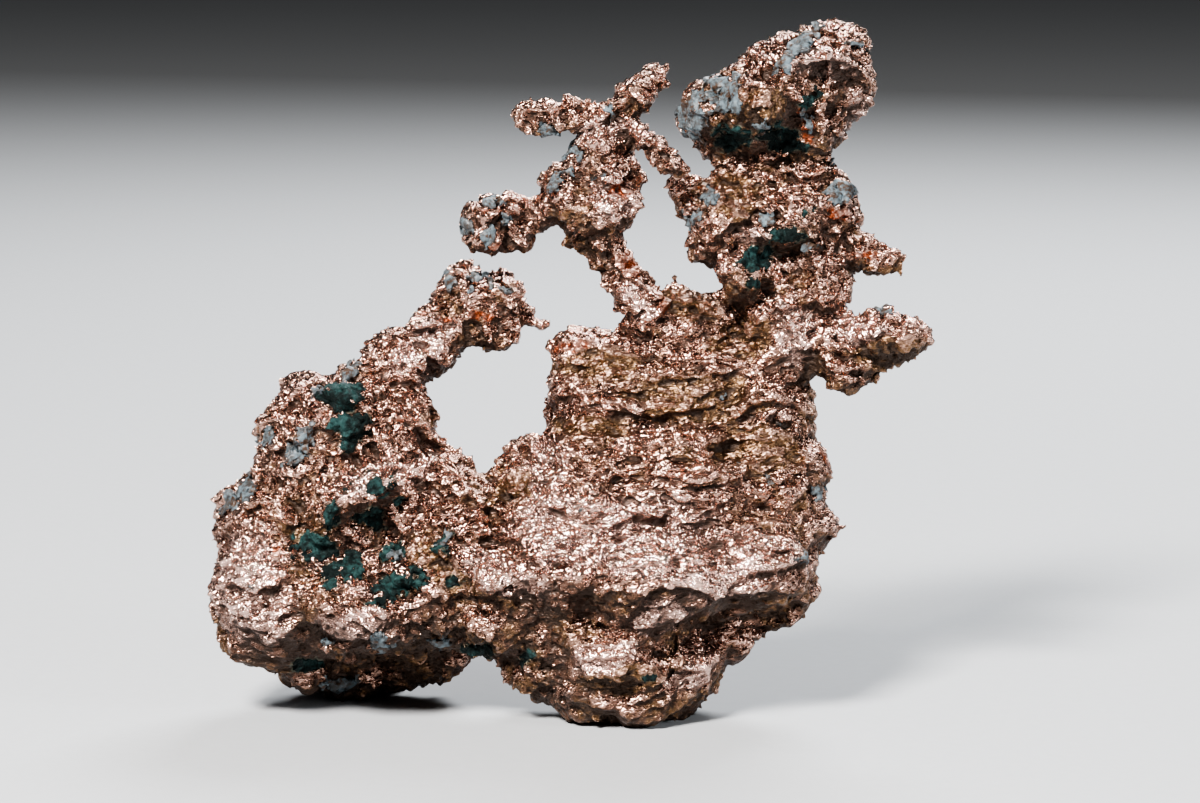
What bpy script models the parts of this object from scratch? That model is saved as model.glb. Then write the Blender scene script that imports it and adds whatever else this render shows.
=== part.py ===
"""Native copper nugget: one branching lump of metal that stands on its own feet.

The metal grew as a heavy base with three branches on it. The nodes are the stretches between its
main forks: the base, the left arm, the middle branch with its ball twig and its top twigs, the
right branch with its crown, and the right prong. They meet face to face at the forks.

The nugget is laid out upright, in millimetres: across (to the right), up, and back (away from the
front). It then leans back onto its feet. Metres and +Z up come out, with the origin at the bottom
centre of the whole nugget.
"""

import math

import bpy
from mathutils import Matrix, Vector

MM = 0.001

# Driving dimensions, in millimetres and degrees.
LEAN_DEG = 8.0  # how far the laid-out nugget leans back when it stands
VOXEL = 0.5  # grid that fuses the lumps into one solid
BEAD_STEP = 0.6  # spacing of the beads of a limb, in bead radii
FORK_GAP = 0.3  # clearance between two nodes that meet at a fork
FORK_DEPTH = 30.0  # reach of a fork cut from front to back
TRIANGLES = 8700  # facets of the whole nugget before it is parted at the forks
KNOB_SIZE, KNOB_HEIGHT = 4.6, 1.4  # rounded relief of the whole surface
HACKLE_SIZE, HACKLE_HEIGHT = 2.2, 1.0  # sharp relief on top of it
GROUND_SIZE = 120.0  # block that cuts the feet flat

# Lumps: across, up, back, then half the width, height and depth of each.
LEFT_LOBE = [
    (-28.7, 12.6, 0.5, 7.2, 7.2, 8.5),  # cheek at the far left
    (-30.4, 8.8, 1.0, 4.8, 4.0, 6.5),
    (-31.4, 20.8, 1.5, 4.0, 3.6, 6.0),
    (-29.8, 18.6, 1.5, 5.6, 5.4, 7.5),
    (-26.2, 26.5, 2.5, 5.4, 7.6, 7.5),  # shoulder under the left edge
    (-26.2, 31.2, 2.5, 3.6, 3.4, 5.5),
    (-20.8, 32.2, 2.5, 4.2, 3.4, 5.0),
    (-22.6, 28.6, 2.5, 6.2, 6.4, 7.5),
    (-17.6, 27.6, 2.0, 4.2, 6.2, 6.5),
    (-20.0, 20.0, 1.0, 8.0, 7.0, 9.0),
    (-20.0, 12.2, 0.0, 9.0, 6.2, 9.5),
    (-13.4, 14.0, 0.0, 7.0, 7.2, 8.5),
    (-22.4, 7.4, 9.0, 7.2, 6.2, 6.8),  # back of the lobe, with the left foot
    (-21.6, 3.6, 12.0, 4.8, 3.4, 4.6),
    (-15.5, 7.2, 8.0, 6.0, 4.6, 6.0),
    (-26.0, 9.6, 6.0, 5.6, 4.8, 6.0),
    (-26.6, 4.8, 4.5, 3.2, 2.5, 4.2),
]
SADDLE = [
    (-9.8, 18.6, 0.0, 5.4, 6.0, 6.5),
    (-12.1, 23.8, 0.5, 2.7, 3.0, 5.0),
    (-7.0, 13.0, -1.0, 7.0, 7.0, 8.5),
    (-3.0, 18.0, -0.5, 6.0, 7.0, 7.5),
    (-4.2, 24.2, 0.0, 3.6, 3.6, 5.0),
]
BODY = [
    (4.6, 30.8, 2.5, 7.4, 7.8, 5.5),  # top of the sheet
    (0.4, 35.8, 2.5, 2.8, 3.0, 4.0),
    (4.4, 37.0, 2.5, 3.4, 2.4, 3.8),
    (12.4, 31.6, 2.5, 8.0, 7.6, 5.5),
    (11.8, 39.8, 2.5, 3.6, 3.4, 3.6),
    (14.8, 40.0, 3.0, 2.6, 2.8, 3.0),
    (18.8, 29.4, 3.0, 6.0, 8.8, 6.0),
    (18.6, 20.8, 2.5, 7.6, 8.0, 7.5),
    (23.6, 19.2, 2.0, 3.0, 2.6, 4.0),
    (22.8, 25.2, 2.5, 3.2, 4.0, 5.0),
    (10.6, 22.0, 0.5, 10.0, 8.2, 8.5),
    (2.2, 21.8, -0.5, 7.6, 7.6, 8.0),
    (-1.2, 14.6, -2.0, 8.0, 6.0, 9.0),
    (7.6, 14.2, -3.0, 10.0, 5.6, 9.5),
    (17.8, 15.6, -0.5, 7.0, 5.6, 8.5),
    (19.4, 13.0, 0.5, 5.3, 4.2, 6.5),
    (16.0, 9.2, 2.0, 3.4, 3.6, 5.5),
    (4.6, 6.4, -1.5, 8.0, 6.4, 8.0),
    (6.4, 2.8, -0.5, 7.0, 4.2, 7.2),  # right foot
    (2.0, 1.6, 0.0, 3.8, 2.6, 5.0),
    (10.8, 1.9, 0.5, 2.1, 2.4, 4.5),
    (10.2, 6.4, 1.5, 5.9, 5.2, 7.5),
    (-2.0, 7.4, 0.0, 5.4, 5.4, 7.0),
    (8.0, 16.0, 6.0, 8.0, 9.0, 5.5),  # swell of the hidden back
]
RIGHT_BRANCH = [
    (21.4, 37.6, 3.0, 3.8, 5.6, 5.0),
    (21.6, 40.4, 3.0, 4.4, 5.2, 5.5),
    (23.0, 44.0, 3.0, 5.0, 5.2, 6.0),
    (26.6, 42.6, 1.5, 1.6, 2.4, 2.8),
    (21.2, 50.0, 2.5, 6.6, 5.2, 6.8),
    (15.6, 49.2, 1.0, 4.0, 4.2, 5.6),
    (17.4, 44.4, -0.5, 3.0, 2.8, 4.6),
    (25.2, 51.2, 3.0, 4.0, 4.2, 5.6),
    (12.4, 52.4, 3.0, 2.2, 2.4, 2.8),
    (20.2, 54.8, 2.0, 5.6, 2.6, 5.5),
]
CROWN = [
    (26.0, 65.2, 0.0, 4.4, 4.6, 6.8),
    (28.0, 63.2, 0.0, 2.6, 3.4, 5.5),
    (22.6, 64.0, -1.0, 5.0, 4.8, 7.5),
    (18.8, 61.4, -2.0, 5.2, 4.6, 7.5),
    (14.7, 60.7, -1.0, 3.8, 3.3, 6.0),
    (15.2, 57.6, 0.0, 2.6, 1.7, 4.0),
    (23.0, 59.8, 0.0, 4.8, 4.2, 6.0),
    (22.0, 56.6, 1.0, 4.2, 2.2, 4.8),
]
RIGHT_PRONG = [
    (27.0, 36.8, 0.5, 3.4, 2.8, 3.6),
    (30.8, 38.2, -0.5, 4.0, 2.6, 3.6),
    (33.2, 38.2, -1.0, 2.5, 2.6, 3.2),
    (28.0, 34.6, 0.0, 3.0, 2.0, 3.0),
]
LEFT_ARM = [
    (-17.6, 35.8, 3.0, 3.8, 3.8, 4.4),
    (-14.0, 37.8, 3.5, 3.4, 3.4, 3.8),
    (-10.6, 40.8, 4.0, 4.0, 4.0, 3.8),
    (-8.4, 38.6, 4.0, 3.4, 1.9, 3.0),
    (-7.6, 41.4, 4.5, 3.0, 3.6, 3.4),
    (-11.0, 43.9, 6.0, 2.1, 1.8, 2.4),
    (-6.7, 44.2, 6.2, 1.5, 1.6, 1.9),
]
MIDDLE_BLOB = [
    (3.0, 51.2, -0.5, 4.2, 3.2, 4.2),
    (-0.4, 52.8, -0.5, 2.5, 3.0, 3.0),
    (1.2, 48.8, 0.0, 2.0, 1.8, 2.4),
    (0.7, 47.3, 0.4, 1.5, 1.3, 1.6),
    (2.8, 55.2, -1.0, 3.2, 3.6, 3.6),
    (6.4, 54.0, 0.5, 1.5, 1.5, 1.8),
]
BALL = [
    (-7.5, 49.5, 0.2, 3.8, 3.2, 3.4),
    (-5.6, 48.2, 0.0, 2.3, 1.8, 2.4),
    (-9.0, 48.2, 0.0, 2.2, 1.8, 2.4),
]
TWIG_KNOTS = [
    (0.4, 61.4, -2.4, 0.9, 0.8, 1.0),
    (-3.6, 59.2, -3.4, 1.8, 1.3, 1.8),
    (5.4, 62.2, -1.2, 1.3, 1.4, 1.3),
]

# Limbs: the across, up, back and radius of each point that a tapering limb passes through.
LIMBS = [
    [(9.6, 39.4, 2.5, 3.0), (7.0, 41.8, 1.5, 2.4), (4.4, 44.8, 0.5, 2.1), (2.8, 48.2, 0.0, 2.4)],
    [(-4.2, 60.2, -3.5, 1.8), (-1.0, 60.0, -2.8, 1.5), (2.0, 60.0, -2.0, 1.6), (5.4, 60.0, -1.6, 1.5)],
    [(5.4, 60.2, -1.6, 1.4), (7.0, 62.6, -1.0, 1.5), (8.6, 64.8, -0.4, 1.5)],
    [(8.0, 63.6, -0.6, 1.0), (9.3, 63.3, -0.4, 0.7)],
    [(5.6, 59.0, -1.6, 1.5), (8.2, 57.2, -2.8, 1.5), (10.8, 55.2, -4.0, 1.2)],
    [(-3.8, 50.5, 0.2, 1.4), (0.0, 50.8, 0.2, 1.6)],
    [(13.0, 51.4, 3.0, 2.0), (10.8, 53.0, 3.4, 1.7)],
    [(27.0, 47.8, 2.5, 2.6), (31.0, 46.6, 2.0, 1.7), (33.0, 45.7, 1.8, 1.3), (33.4, 44.4, 1.8, 0.8)],
    [(-5.0, 40.2, 4.6, 1.1), (-2.0, 39.6, 4.8, 0.6)],
    [(-14.4, 31.4, 1.0, 1.3), (-13.4, 30.2, 0.6, 0.9)],
]

# Hollows: lumps of the same kind that are carved away.
HOLLOWS = [
    (-19.4, 17.4, -9.4, 3.8, 4.8, 3.2),  # pit in the face of the left lobe
    (20.2, 8.6, -6.6, 5.6, 3.2, 5.0),  # under the ledge of the body
    (15.8, 26.2, -4.6, 2.8, 0.9, 2.2),  # slit in the sheet
    (-12.0, 4.4, -6.5, 8.0, 3.0, 6.5),  # under the lobe and the saddle
]

# Slot beside the right branch, like a fork cut but wider and open.
SLOT = (15.8, 41.6, 3.0, 0.73, 0.68, 3.4)
SLOT_WIDTH = 1.2

# Forks: across, up and back of the cut, the across and up of its normal, and half its length.
FORKS = [
    (-16.6, 35.4, 3.0, 0.60, 0.80, 7.0),
    (7.5, 42.3, 1.5, -0.76, 0.65, 3.9),
    (21.2, 36.2, 3.0, 0.61, 0.79, 5.5),
    (26.7, 36.7, 0.5, 0.90, -0.43, 5.3),
    (21.6, 55.8, 1.0, 0.0, 1.0, 7.4),
    (-2.8, 50.7, 0.2, 1.0, 0.0, 2.8),
    (3.8, 57.0, -1.5, 0.25, 0.97, 4.6),
]

# Nodes: a point inside each, its colour and its roughness.
NODES = {
    "base": ((0.0, 15.0, 0.0), (0.68, 0.39, 0.29), 0.36),
    "left_arm": ((-10.6, 40.8, 4.0), (0.66, 0.38, 0.28), 0.38),
    "middle_branch": ((3.0, 51.2, -0.5), (0.70, 0.41, 0.31), 0.35),
    "ball_twig": ((-7.4, 49.4, 0.2), (0.67, 0.42, 0.33), 0.40),
    "top_twigs": ((2.0, 60.0, -2.0), (0.69, 0.39, 0.28), 0.34),
    "right_branch": ((21.2, 48.0, 2.5), (0.58, 0.35, 0.25), 0.44),
    "crown": ((22.6, 63.0, -1.0), (0.64, 0.38, 0.29), 0.40),
    "right_prong": ((30.8, 38.2, -0.5), (0.66, 0.36, 0.26), 0.37),
}


def in_layout(across, up, back):
    """A laid-out point, in metres, with Y away from the front and Z up."""
    return Vector((across, back, up)) * MM


def add_lump(across, up, back, half_width, half_height, half_depth):
    bpy.ops.mesh.primitive_ico_sphere_add(subdivisions=3, radius=MM, location=in_layout(across, up, back))
    lump = bpy.context.object
    lump.scale = (half_width, half_depth, half_height)
    return lump


def add_limb(points):
    """Beads of changing radius from point to point, close enough to fuse into a smooth limb."""
    beads = []
    for (*start, start_radius), (*end, end_radius) in zip(points, points[1:]):
        start, end = Vector(start), Vector(end)
        step = BEAD_STEP * min(start_radius, end_radius)
        count = max(1, math.ceil((end - start).length / step))
        for i in range(count + 1):
            share = i / count
            radius = start_radius + share * (end_radius - start_radius)
            beads.append(add_lump(*start.lerp(end, share), radius, radius, radius))
    return beads


def select_only(objects):
    bpy.ops.object.select_all(action="DESELECT")
    for obj in objects:
        obj.select_set(True)
    bpy.context.view_layer.objects.active = objects[0]


def apply_modifiers(obj):
    select_only([obj])
    bpy.ops.object.convert(target="MESH")


def fuse(pieces, name):
    """One watertight solid from overlapping pieces."""
    select_only(pieces)
    bpy.ops.object.join()
    solid = bpy.context.object
    solid.name = name
    bpy.ops.object.transform_apply(location=True, rotation=True, scale=True)
    grid = solid.modifiers.new("Fuse", "REMESH")
    grid.mode = "VOXEL"
    grid.voxel_size = VOXEL * MM
    apply_modifiers(solid)
    return solid


def carve(solid, cutter):
    """Cut one piece out of the solid and drop the cutter."""
    cutter.display_type = "WIRE"
    cutter.hide_render = True
    cut = solid.modifiers.new("Carve", "BOOLEAN")
    cut.operation = "DIFFERENCE"
    cut.solver = "EXACT"
    cut.object = cutter
    apply_modifiers(solid)
    bpy.data.objects.remove(cutter)


def roughen(solid, kind, size, height, **settings):
    """Push the surface in and out by a solid texture of the given feature size."""
    texture = bpy.data.textures.new(kind.title(), kind)
    texture.noise_scale = size * MM
    for setting, value in settings.items():
        setattr(texture, setting, value)
    relief = solid.modifiers.new(kind.title(), "DISPLACE")
    relief.texture = texture
    relief.texture_coords = "LOCAL"
    relief.mid_level = 0.5
    relief.strength = height * MM
    apply_modifiers(solid)


def regrid(solid, size):
    """Even facets again, and no folds, after the surface has been pushed about."""
    grid = solid.modifiers.new("Regrid", "REMESH")
    grid.mode = "VOXEL"
    grid.voxel_size = size * MM
    apply_modifiers(solid)


def thin_facets(solid, count):
    triangles = solid.modifiers.new("Triangles", "TRIANGULATE")
    apply_modifiers(solid)
    thinner = solid.modifiers.new("Thin", "DECIMATE")
    thinner.ratio = count / len(solid.data.polygons)
    apply_modifiers(solid)


def box(size, matrix):
    bpy.ops.mesh.primitive_cube_add(size=1.0)
    block = bpy.context.object
    block.data.transform(matrix @ Matrix.Diagonal((*[side * MM for side in size], 1.0)))
    return block


def cut_across(solid, placing, cut, width):
    """A flat cut of this width from front to back."""
    across, up, back, normal_across, normal_up, half_length = cut
    turn = Matrix.Rotation(math.atan2(normal_across, normal_up), 4, "Y")
    spot = placing @ Matrix.Translation(in_layout(across, up, back)) @ turn
    carve(solid, box((2.0 * half_length, FORK_DEPTH, width), spot))


for obj in list(bpy.data.objects):
    bpy.data.objects.remove(obj)

# The whole nugget as one solid.
lumps = LEFT_LOBE + SADDLE + BODY + RIGHT_BRANCH + CROWN + RIGHT_PRONG
lumps += LEFT_ARM + MIDDLE_BLOB + BALL + TWIG_KNOTS
pieces = [add_lump(*lump) for lump in lumps]
for limb in LIMBS:
    pieces += add_limb(limb)
nugget = fuse(pieces, "nugget")
for hollow in HOLLOWS:
    carve(nugget, add_lump(*hollow))
roughen(nugget, "CLOUDS", KNOB_SIZE, KNOB_HEIGHT, noise_depth=2)
roughen(nugget, "VORONOI", HACKLE_SIZE, HACKLE_HEIGHT)
regrid(nugget, VOXEL)
cut_across(nugget, Matrix.Identity(4), SLOT, SLOT_WIDTH)
thin_facets(nugget, TRIANGLES)

# Lean it back, cut its feet flat on the ground and centre it.
lean = Matrix.Rotation(math.radians(-LEAN_DEG), 4, "X")
nugget.data.transform(lean)
carve(nugget, box([GROUND_SIZE] * 3, Matrix.Translation((0.0, 0.0, -0.5 * GROUND_SIZE * MM))))
corners = [Vector(corner) for corner in nugget.bound_box]
low = Vector([min(corner[axis] for corner in corners) for axis in range(3)])
high = Vector([max(corner[axis] for corner in corners) for axis in range(3)])
shift = Vector((-0.5 * (low.x + high.x), -0.5 * (low.y + high.y), -low.z))
nugget.data.transform(Matrix.Translation(shift))
placed = Matrix.Translation(shift) @ lean

# Part it at the forks.
for fork in FORKS:
    cut_across(nugget, placed, fork, FORK_GAP)
select_only([nugget])
bpy.ops.object.mode_set(mode="EDIT")
bpy.ops.mesh.separate(type="LOOSE")
bpy.ops.object.mode_set(mode="OBJECT")

# Name each stretch after the anchor that lies nearest to it.
stretches = list(bpy.context.selected_objects)
for name, (anchor, colour, roughness) in NODES.items():
    spot = placed @ in_layout(*anchor)
    node = min(stretches, key=lambda stretch: min((v.co - spot).length for v in stretch.data.vertices))
    stretches.remove(node)
    node.name = name
    node.data.name = name
    metal = bpy.data.materials.new(name + "_copper")
    metal.use_nodes = True
    shader = metal.node_tree.nodes["Principled BSDF"]
    shader.inputs["Base Color"].default_value = (*colour, 1.0)
    shader.inputs["Roughness"].default_value = roughness
    shader.inputs["Metallic"].default_value = 1.0
    node.data.materials.clear()
    node.data.materials.append(metal)
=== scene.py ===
"""Looks of the native copper nugget: its crinkled metal, tarnish and mineral crust, on a pale floor."""

import itertools
import math

import bmesh
import bpy
import numpy as np
from mathutils import Matrix, Vector, noise
from mathutils.bvhtree import BVHTree


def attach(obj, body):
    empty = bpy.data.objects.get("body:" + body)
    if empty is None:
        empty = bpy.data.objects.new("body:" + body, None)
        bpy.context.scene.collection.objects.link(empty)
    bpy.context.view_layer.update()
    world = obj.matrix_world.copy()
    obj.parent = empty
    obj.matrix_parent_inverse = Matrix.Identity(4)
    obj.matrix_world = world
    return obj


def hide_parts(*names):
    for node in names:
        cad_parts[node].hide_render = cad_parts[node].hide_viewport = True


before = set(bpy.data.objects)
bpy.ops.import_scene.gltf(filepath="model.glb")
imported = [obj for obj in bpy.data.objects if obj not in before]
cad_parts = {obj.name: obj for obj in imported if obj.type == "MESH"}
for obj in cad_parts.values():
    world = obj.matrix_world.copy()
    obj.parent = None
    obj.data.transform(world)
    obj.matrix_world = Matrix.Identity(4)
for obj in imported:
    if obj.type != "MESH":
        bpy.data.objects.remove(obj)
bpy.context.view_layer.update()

# ---------------------------------------------------------------------------------------------
# The growth of metal.
# Native copper, grown in one piece between other minerals and torn free of them. It is laid out
# upright in millimetres, across, up and back, and leans back on its feet, as its solids do.
MM = 0.001
LEAN = math.radians(8.0)
FEET = Vector((-0.028, -3.356, 0.0))  # where the layout's origin stands, in millimetres
FORK_CLOSING = 0.25  # each stretch swells by this, which closes the gaps at the forks
SHRINK = -0.38  # and the whole growth shrinks by this, to make room for its relief
COARSE, MIDDLE, FINE = 0.40, 0.28, 0.20  # voxels of the three stages of shaping


def only(*objects):
    """Selects these objects and nothing else."""
    bpy.ops.object.select_all(action="DESELECT")
    for obj in objects:
        obj.select_set(True)
    bpy.context.view_layer.objects.active = objects[0]


def finish_modifier(obj, kind, **settings):
    """Adds a modifier with these settings and applies it."""
    only(obj)
    modifier = obj.modifiers.new(kind.title(), kind)
    for setting, value in settings.items():
        setattr(modifier, setting, value)
    bpy.ops.object.modifier_apply(modifier=modifier.name)


def regrid(obj, voxel):
    finish_modifier(obj, "REMESH", mode="VOXEL", voxel_size=voxel * MM)


def to_world(across, up, back):
    """A laid-out point, in millimetres, as a point in the frame, in metres."""
    return (Matrix.Rotation(-LEAN, 3, "X") @ Vector((across, back, up)) + FEET) * MM


def laid_out(points):
    """Points of the frame, in metres, as across, up and back in millimetres."""
    across, deep, high = (points / MM - np.array(FEET)).T
    up = deep * math.sin(LEAN) + high * math.cos(LEAN)
    back = deep * math.cos(LEAN) - high * math.sin(LEAN)
    return across, up, back


def read(mesh, what="co"):
    """Every vertex's place or normal, as an array of rows."""
    values = np.empty(len(mesh.vertices) * 3, np.float32)
    if what == "co":
        mesh.vertices.foreach_get("co", values)
    else:
        mesh.vertex_normals.foreach_get("vector", values)
    return values.reshape(-1, 3).astype(float)


def write(mesh, points):
    mesh.vertices.foreach_set("co", points.astype(np.float32).ravel())
    mesh.update()


def push(mesh, heights):
    """Moves every vertex along its normal by its height, in millimetres."""
    write(mesh, read(mesh) + read(mesh, "normal") * (heights * MM)[:, None])


copies = [bpy.data.objects.new("growth", node.data.copy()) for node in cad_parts.values()]
for copy in copies:
    bpy.context.scene.collection.objects.link(copy)
only(*copies)
bpy.ops.object.join()
growth = bpy.context.object
bpy.ops.object.mode_set(mode="EDIT")
bpy.ops.mesh.select_all(action="SELECT")
bpy.ops.mesh.remove_doubles(threshold=0.001 * MM)
bpy.ops.object.mode_set(mode="OBJECT")
finish_modifier(growth, "DISPLACE", strength=FORK_CLOSING * MM, mid_level=0.0)

# Thin wires and tips that stand off the growth: points across, up, back and radius of each.
WIRES = [
    [(-5.4, 40.0, 4.6, 0.9), (-3.6, 40.2, 4.6, 0.45), (-2.4, 39.6, 4.4, 0.32), (-1.7, 39.6, 4.2, 0.42)],
    [(-14.6, 30.8, 0.6, 0.8), (-13.2, 31.0, 0.4, 0.7), (-12.6, 30.2, 0.3, 0.6), (-13.0, 29.4, 0.3, 0.4)],
    [(-13.4, 27.2, 0.6, 0.8), (-12.2, 27.8, 0.5, 0.5), (-11.9, 28.6, 0.5, 0.3)],
    [(-12.2, 25.8, 0.4, 0.8), (-11.0, 26.6, 0.4, 0.45), (-10.5, 27.2, 0.4, 0.3)],
    [(26.6, 18.8, 1.0, 1.0), (28.0, 19.4, 0.8, 0.6), (28.8, 19.4, 0.8, 0.35)],
    [(0.2, 60.8, -2.4, 0.8), (0.6, 62.2, -2.4, 0.45), (0.0, 62.8, -2.4, 0.3)],
    [(6.6, 53.8, 0.4, 0.9), (7.8, 54.4, 0.3, 0.5), (8.4, 54.9, 0.3, 0.3)],
    [(-0.2, 48.0, 0.4, 0.9), (-1.2, 47.4, 0.4, 0.5), (-1.4, 46.4, 0.4, 0.35)],
    [(14.6, 54.0, 2.4, 0.8), (14.6, 55.2, 2.4, 0.4), (14.9, 55.8, 2.4, 0.3)],
    [(10.6, 43.6, 2.0, 0.8), (10.2, 44.6, 2.0, 0.45), (10.7, 45.2, 2.0, 0.35)],
    [(33.2, 45.2, 1.8, 1.0), (33.6, 44.2, 1.7, 0.6), (33.0, 43.4, 1.6, 0.4)],
    [(-1.4, 36.6, 2.4, 0.9), (-2.2, 37.0, 2.3, 0.5), (-2.6, 36.6, 2.2, 0.3)],
    [(9.6, 63.2, -0.5, 0.7), (10.4, 63.0, -0.6, 0.5), (10.9, 62.6, -0.7, 0.4)],
]
wires = []
for points in WIRES:
    bpy.ops.curve.primitive_nurbs_path_add()
    wire = bpy.context.object
    curve = wire.data
    curve.splines.clear()
    spline = curve.splines.new("NURBS")
    spline.points.add(len(points) - 1)
    for point, (across, up, back, radius) in zip(spline.points, points):
        point.co = (*to_world(across, up, back), 1.0)
        point.radius = radius
    spline.use_endpoint_u = True
    spline.order_u = 3
    spline.resolution_u = 6
    curve.bevel_depth = MM
    curve.bevel_resolution = 3
    curve.use_fill_caps = True
    bpy.ops.object.convert(target="MESH")
    wires.append(bpy.context.object)
only(growth, *wires)
bpy.ops.object.join()
regrid(growth, COARSE)
finish_modifier(growth, "DISPLACE", strength=SHRINK * MM, mid_level=0.0)

# Strokes that shape the front face: across, up, half width, half height, turn in degrees and push,
# in millimetres, out of the face or into it. A ledge has its sharp edge at the top of its stroke.
DOMES = [
    (1.0, 17.5, 10.0, 6.0, 5, 0.8),  # swell of the body above its ledge
    (12.0, 16.4, 10.0, 4.6, 12, 0.6),
    (-3.2, 23.0, 2.4, 4.5, 0, 0.7),  # bright strip beside the saddle
    (-6.8, 14.2, 5.0, 1.8, -18, 1.1),  # ridge from the saddle to the ledge
    (8.8, 10.4, 4.0, 1.7, 6, 1.3),  # bright lip over the foot
    (18.8, 13.6, 6.4, 1.5, 15, 1.0),  # lip of the ledge
    (-1.0, 8.4, 2.6, 2.2, 30, 0.6),
    (10.6, 3.6, 3.4, 1.4, 24, 0.8),  # flake at the tip of the foot
    (-19.0, 23.2, 6.6, 1.6, 22, 1.7),  # brow over the pit of the left lobe
    (-25.4, 22.2, 3.6, 1.6, -16, 0.9),
    (-12.4, 17.0, 1.6, 1.2, 0, 1.0),
    (-17.6, 14.9, 4.8, 0.9, -3, 0.9),  # lip over the long green patch
    (-23.0, 10.6, 4.8, 1.5, -24, 0.7),
    (-21.5, 6.6, 7.0, 1.3, 3, 0.9),  # lower edge of the lobe
    (-31.0, 14.0, 4.0, 7.0, 0, 0.5),  # flat cheek
    (-22.0, 31.0, 3.4, 3.0, 0, 0.6),
    (18.4, 48.0, 2.2, 1.0, 0, 1.0),  # bright knob of the right branch
    (26.0, 64.8, 4.6, 1.2, -8, 1.0),  # brow of the crown
    (20.6, 63.6, 1.4, 4.5, -40, 0.7),  # vein of the crown
    (29.6, 38.6, 4.0, 1.2, -20, 1.0),  # upper face of the prong
    (11.0, 34.2, 7.0, 1.2, 4, 0.5),  # folds of the sheet
    (4.0, 31.4, 5.0, 1.2, -6, 0.5),
    (14.0, 24.5, 6.0, 1.2, 10, 0.5),
]
LEDGES = [
    (20.0, 9.9, 5.4, 2.2, 15, -3.2),  # deep hollow under the body's ledge
    (13.6, 8.0, 2.4, 2.0, 36, -1.7),
    (8.6, 7.2, 3.8, 1.3, 4, -1.3),
    (2.6, 9.8, 2.4, 0.8, -10, -1.0),
    (-3.8, 12.6, 2.0, 0.9, -14, -1.0),
    (-8.4, 11.0, 3.4, 1.2, -20, -1.1),
    (-3.0, 5.0, 3.0, 1.6, -34, -1.2),
    (5.6, 3.4, 3.0, 1.1, 8, -0.9),
    (-18.6, 18.0, 5.2, 4.4, 20, -3.3),  # pit of the left lobe
    (-17.0, 13.2, 4.2, 1.3, -3, -1.4),
    (-23.6, 15.6, 3.0, 2.6, 0, -1.6),
    (-24.0, 8.0, 4.6, 1.2, -20, -0.9),
    (-13.4, 9.2, 3.0, 1.0, 10, -0.8),
    (16.2, 26.6, 2.2, 0.7, -4, -1.5),  # slits in the sheet
    (21.0, 29.2, 1.8, 0.7, -8, -1.3),
    (12.6, 35.0, 2.4, 0.7, -10, -1.0),
    (9.4, 29.2, 3.2, 0.9, -6, -1.3),
    (1.6, 35.0, 1.7, 0.7, -14, -1.2),
    (2.0, 27.4, 2.6, 0.8, 6, -0.8),
    (22.2, 32.8, 1.0, 0.8, 0, -1.2),
    (14.6, 31.8, 3.0, 0.7, 14, -0.8),
    (5.4, 32.4, 3.4, 0.7, -12, -0.7),
    (18.4, 22.0, 3.4, 0.8, 14, -0.9),
    (5.0, 23.4, 2.6, 0.6, 12, -0.5),
    (9.0, 19.2, 2.4, 0.6, 14, -0.5),
    (-26.8, 31.0, 1.8, 1.2, 20, -1.0),  # scoop in the shoulder
    (20.2, 57.2, 5.2, 1.9, 4, -2.8),  # cleft under the crown
    (25.8, 62.0, 4.6, 2.6, -10, -1.6),  # hollow face of the crown
    (20.4, 44.8, 3.6, 2.4, 20, -2.4),  # hollows of the right branch
    (16.2, 46.8, 3.2, 1.2, 10, -1.2),
    (29.4, 36.0, 4.0, 1.9, -18, -1.4),  # under the prong's ledge
    (5.4, 56.4, 1.6, 1.6, -50, -1.6),  # between the blob and its lower twig
    (-21.0, 4.2, 9.0, 2.4, 2, -2.0),  # dark underside of the lobe
]
WANDER = [(3.0, 1.3), (1.0, 0.5)]  # sizes over which edges wander, and how far


def wandering(points):
    """Across and up of each point, in millimetres, and both moved a little so that outlines wander."""
    across, up, back = laid_out(points)
    places = np.stack([across, up, back], axis=1)
    moved = np.zeros((len(points), 3))
    for size, reach in WANDER:
        moved += reach * np.array([noise.noise_vector(Vector(place) / size) for place in places])
    return across, up, across + moved[:, 0], up + 0.7 * moved[:, 1]


def stroke_shape(across, up, stroke, sharp_top):
    """How strongly each point takes part in a stroke, from 0 to 1."""
    centre_across, centre_up, half_width, half_height, turn, _ = stroke
    angle = math.radians(turn)
    along = ((across - centre_across) * math.cos(angle) + (up - centre_up) * math.sin(angle)) / half_width
    above = ((up - centre_up) * math.cos(angle) - (across - centre_across) * math.sin(angle)) / half_height
    if sharp_top:
        lift = np.clip((1.0 - above) / 0.35, 0.0, 1.0) * np.clip((above + 1.6) / 1.8, 0.0, 1.0)
        return np.clip(1.0 - along**2, 0.0, 1.0) * lift * lift * (3.0 - 2.0 * lift)
    return np.clip(1.0 - along**2 - above**2, 0.0, 1.0) ** 1.5


def shape_front(obj):
    points, normals = read(obj.data), read(obj.data, "normal")
    _, _, across, up = wandering(points)
    facing = -(normals[:, 1] * math.cos(LEAN) - normals[:, 2] * math.sin(LEAN))
    front = np.clip(facing * 2.0 + 0.4, 0.0, 1.0)
    push = np.zeros(len(points))
    for strokes, sharp_top in ((DOMES, False), (LEDGES, True)):
        for stroke in strokes:
            push += stroke[-1] * stroke_shape(across, up, stroke, sharp_top)
    out = np.array(Matrix.Rotation(-LEAN, 3, "X") @ Vector((0.0, -1.0, 0.0)))
    write(obj.data, points + out * (push * front)[:, None] * MM)


shape_front(growth)
regrid(growth, MIDDLE)


def rise(values, low, high):
    """0 where a value is low and 1 where it is high, or the other way if high is the lower."""
    return np.clip((values - low) / (high - low), 0.0, 1.0)


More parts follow.
